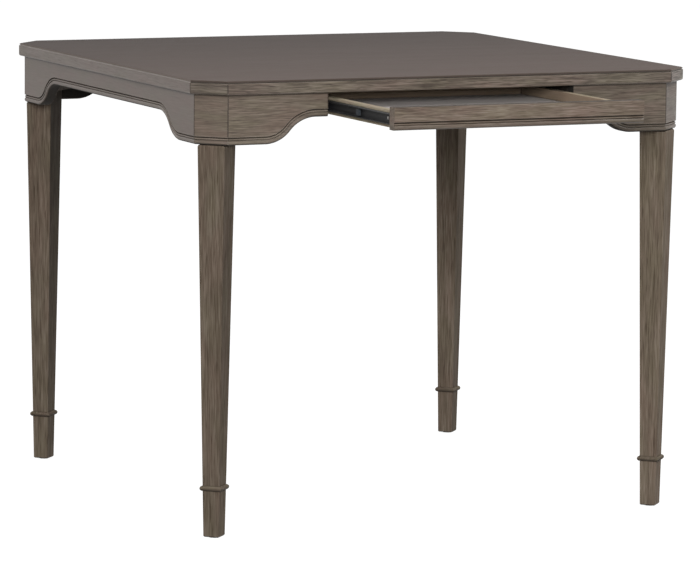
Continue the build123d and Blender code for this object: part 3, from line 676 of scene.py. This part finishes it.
def finish_drawer():
    """The drawer's wooden pieces."""
    give("drawer_front", wood("drawer_front_wood", 0.0, extra=dark_edges))
    for side in SIDES:
        give("drawer_side_" + side, wood("drawer_side_wood", 90.0, extra=stained_inside))
    for end in ("front", "back"):
        give("drawer_box_" + end, wood("drawer_side_wood", 0.0, extra=stained_inside))
    give("drawer_bottom", wood("drawer_bottom_board", 0.0))


def finish_insides():
    """Braces, rails, cleats and fasteners."""
    inner = wood("inner_hardwood", 0.0)
    give("corner_braces", inner)
    give("top_cleats", inner)
    for side in SIDES:
        give("runner_rail_" + side, wood("rail_hardwood", 90.0))
    zinc = metal("zinc_steel", ZINC, roughness=0.32)
    fasteners = ("hanger_bolts", "flange_nuts", "brace_screws", "top_screws", "drawer_front_screws",
                 "slide_screws_cabinet", "slide_screws_drawer")
    for node in fasteners:
        give(node, zinc)


def finish_slides():
    """The telescoping slides."""
    black = metal("black_steel", BLACK, roughness=0.55, metallic=0.0, specular=0.25)
    cage = plastic("cage_plastic", CAGE, roughness=0.5)
    bumper = plastic("grey_plastic", BUMPER, roughness=0.55)
    balls = metal("ball_steel", BALL, roughness=0.12)
    for side in SIDES:
        for member in ("cabinet", "middle", "drawer"):
            give(f"slide_{member}_{side}", black)
        give("slide_bumper_" + side, bumper)
        for row in ("outer", "inner"):
            give(f"ball_cage_{row}_{side}", cage)
            give(f"balls_{row}_{side}", balls)


def soften_edges():
    """Small round arrises on the legs, the corner panels, the drawer sides and the drawer front."""
    for corner in CORNERS:
        soften("leg_" + corner, LEG_ARRIS)
        soften("corner_panel_" + corner, PANEL_ARRIS)
    for side in SIDES:
        soften("drawer_side_" + side, DRAWER_SIDE_ARRIS)
    soften("drawer_front", DRAWER_FRONT_ARRIS)


# ---------------------------------------------------------------------------
# Studio
# ---------------------------------------------------------------------------
def seen_rays(tree):
    """1 for the rays that the camera, a gloss or a clear material sends, 0 for the rest."""
    rays = tree.nodes.new("ShaderNodeLightPath")
    total = rays.outputs["Is Camera Ray"]
    for name in ("Is Glossy Ray", "Is Transmission Ray"):
        joined = tree.nodes.new("ShaderNodeMath")
        joined.operation = "MAXIMUM"
        tree.links.new(total, joined.inputs[0])
        tree.links.new(rays.outputs[name], joined.inputs[1])
        total = joined.outputs[0]
    return total


def make_world():
    """Soft light, stronger from above, and white where it is seen."""
    world = bpy.data.worlds.new("studio")
    bpy.context.scene.world = world
    world.use_nodes = True
    tree = world.node_tree
    background = tree.nodes["Background"]
    background.inputs["Color"].default_value = (1.0, 1.0, 1.0, 1.0)
    place = tree.nodes.new("ShaderNodeTexCoord")
    parts = tree.nodes.new("ShaderNodeSeparateXYZ")
    rise = tree.nodes.new("ShaderNodeMapRange")
    rise.inputs["To Min"].default_value = AMBIENT_LOW
    rise.inputs["To Max"].default_value = AMBIENT_HIGH
    level = tree.nodes.new("ShaderNodeMapRange")
    level.inputs["To Max"].default_value = WHITE
    tree.links.new(place.outputs["Generated"], parts.inputs[0])
    tree.links.new(parts.outputs["Z"], rise.inputs["Value"])
    tree.links.new(rise.outputs[0], level.inputs["To Min"])
    tree.links.new(seen_rays(tree), level.inputs["Value"])
    tree.links.new(level.outputs[0], background.inputs["Strength"])


def make_floor():
    """A grey floor that glows where it is seen, so that it looks white and keeps the table's shadow."""
    half = FLOOR_HALF
    mesh = bpy.data.meshes.new("floor")
    corners = [(-half, -half, 0), (half, -half, 0), (half, half, 0), (-half, half, 0)]
    mesh.from_pydata(corners, [], [(0, 1, 2, 3)])
    floor = bpy.data.objects.new("floor", mesh)
    bpy.context.scene.collection.objects.link(floor)
    sh = Shader("floor")
    matt = sh.node("BsdfDiffuse", {"Color": (FLOOR_COLOUR, FLOOR_COLOUR, FLOOR_COLOUR, 1.0)}).outputs[0]
    strength = sh.math("MULTIPLY", seen_rays(sh.tree), FLOOR_GLOW)
    glow = sh.node("Emission", {"Strength": strength}).outputs[0]
    both = sh.node("AddShader", {0: matt, 1: glow}).outputs[0]
    sh.node("OutputMaterial", {"Surface": both})
    mesh.materials.append(sh.material)


def make_lamp(name, lamp):
    """A large soft lamp that looks at the middle of the table."""
    light = bpy.data.lights.new(name, "AREA")
    light.shape = "DISK"
    light.size = lamp.size
    light.energy = lamp.level * math.pi ** 2 * LAMP_DISTANCE ** 2
    side = math.radians(lamp.side)
    height = math.radians(lamp.height)
    level = math.cos(height)
    towards = Vector((math.sin(side) * level, -math.cos(side) * level, math.sin(height)))
    made = bpy.data.objects.new(name, light)
    made.location = LAMP_TARGET + towards * LAMP_DISTANCE
    made.rotation_euler = towards.to_track_quat("Z", "Y").to_euler()
    bpy.context.scene.collection.objects.link(made)


def make_camera():
    """The camera, 1.4 m up and 7.6 m off, with a long lens."""
    data = bpy.data.cameras.new("camera")
    data.sensor_width = SENSOR_WIDTH
    data.lens = CAMERA_LENS
    data.clip_end = CAMERA_REACH
    camera = bpy.data.objects.new("camera", data)
    bpy.context.scene.collection.objects.link(camera)
    heading = Matrix.Rotation(CAMERA_HEADING, 4, "Z")
    tilt = Matrix.Rotation(math.radians(90.0) - CAMERA_DOWN, 4, "X")
    roll = Matrix.Rotation(CAMERA_ROLL, 4, "Z")
    camera.matrix_world = Matrix.Translation(CAMERA_PLACE) @ heading @ tilt @ roll
    bpy.context.scene.camera = camera


make_world()
make_floor()
for lamp_name, lamp_plan in LAMPS.items():
    make_lamp(lamp_name, lamp_plan)
make_camera()
bpy.context.scene.view_settings.view_transform = "Standard"

finish_top()
finish_aprons()
finish_legs()
finish_drawer()
finish_insides()
finish_slides()
soften_edges()
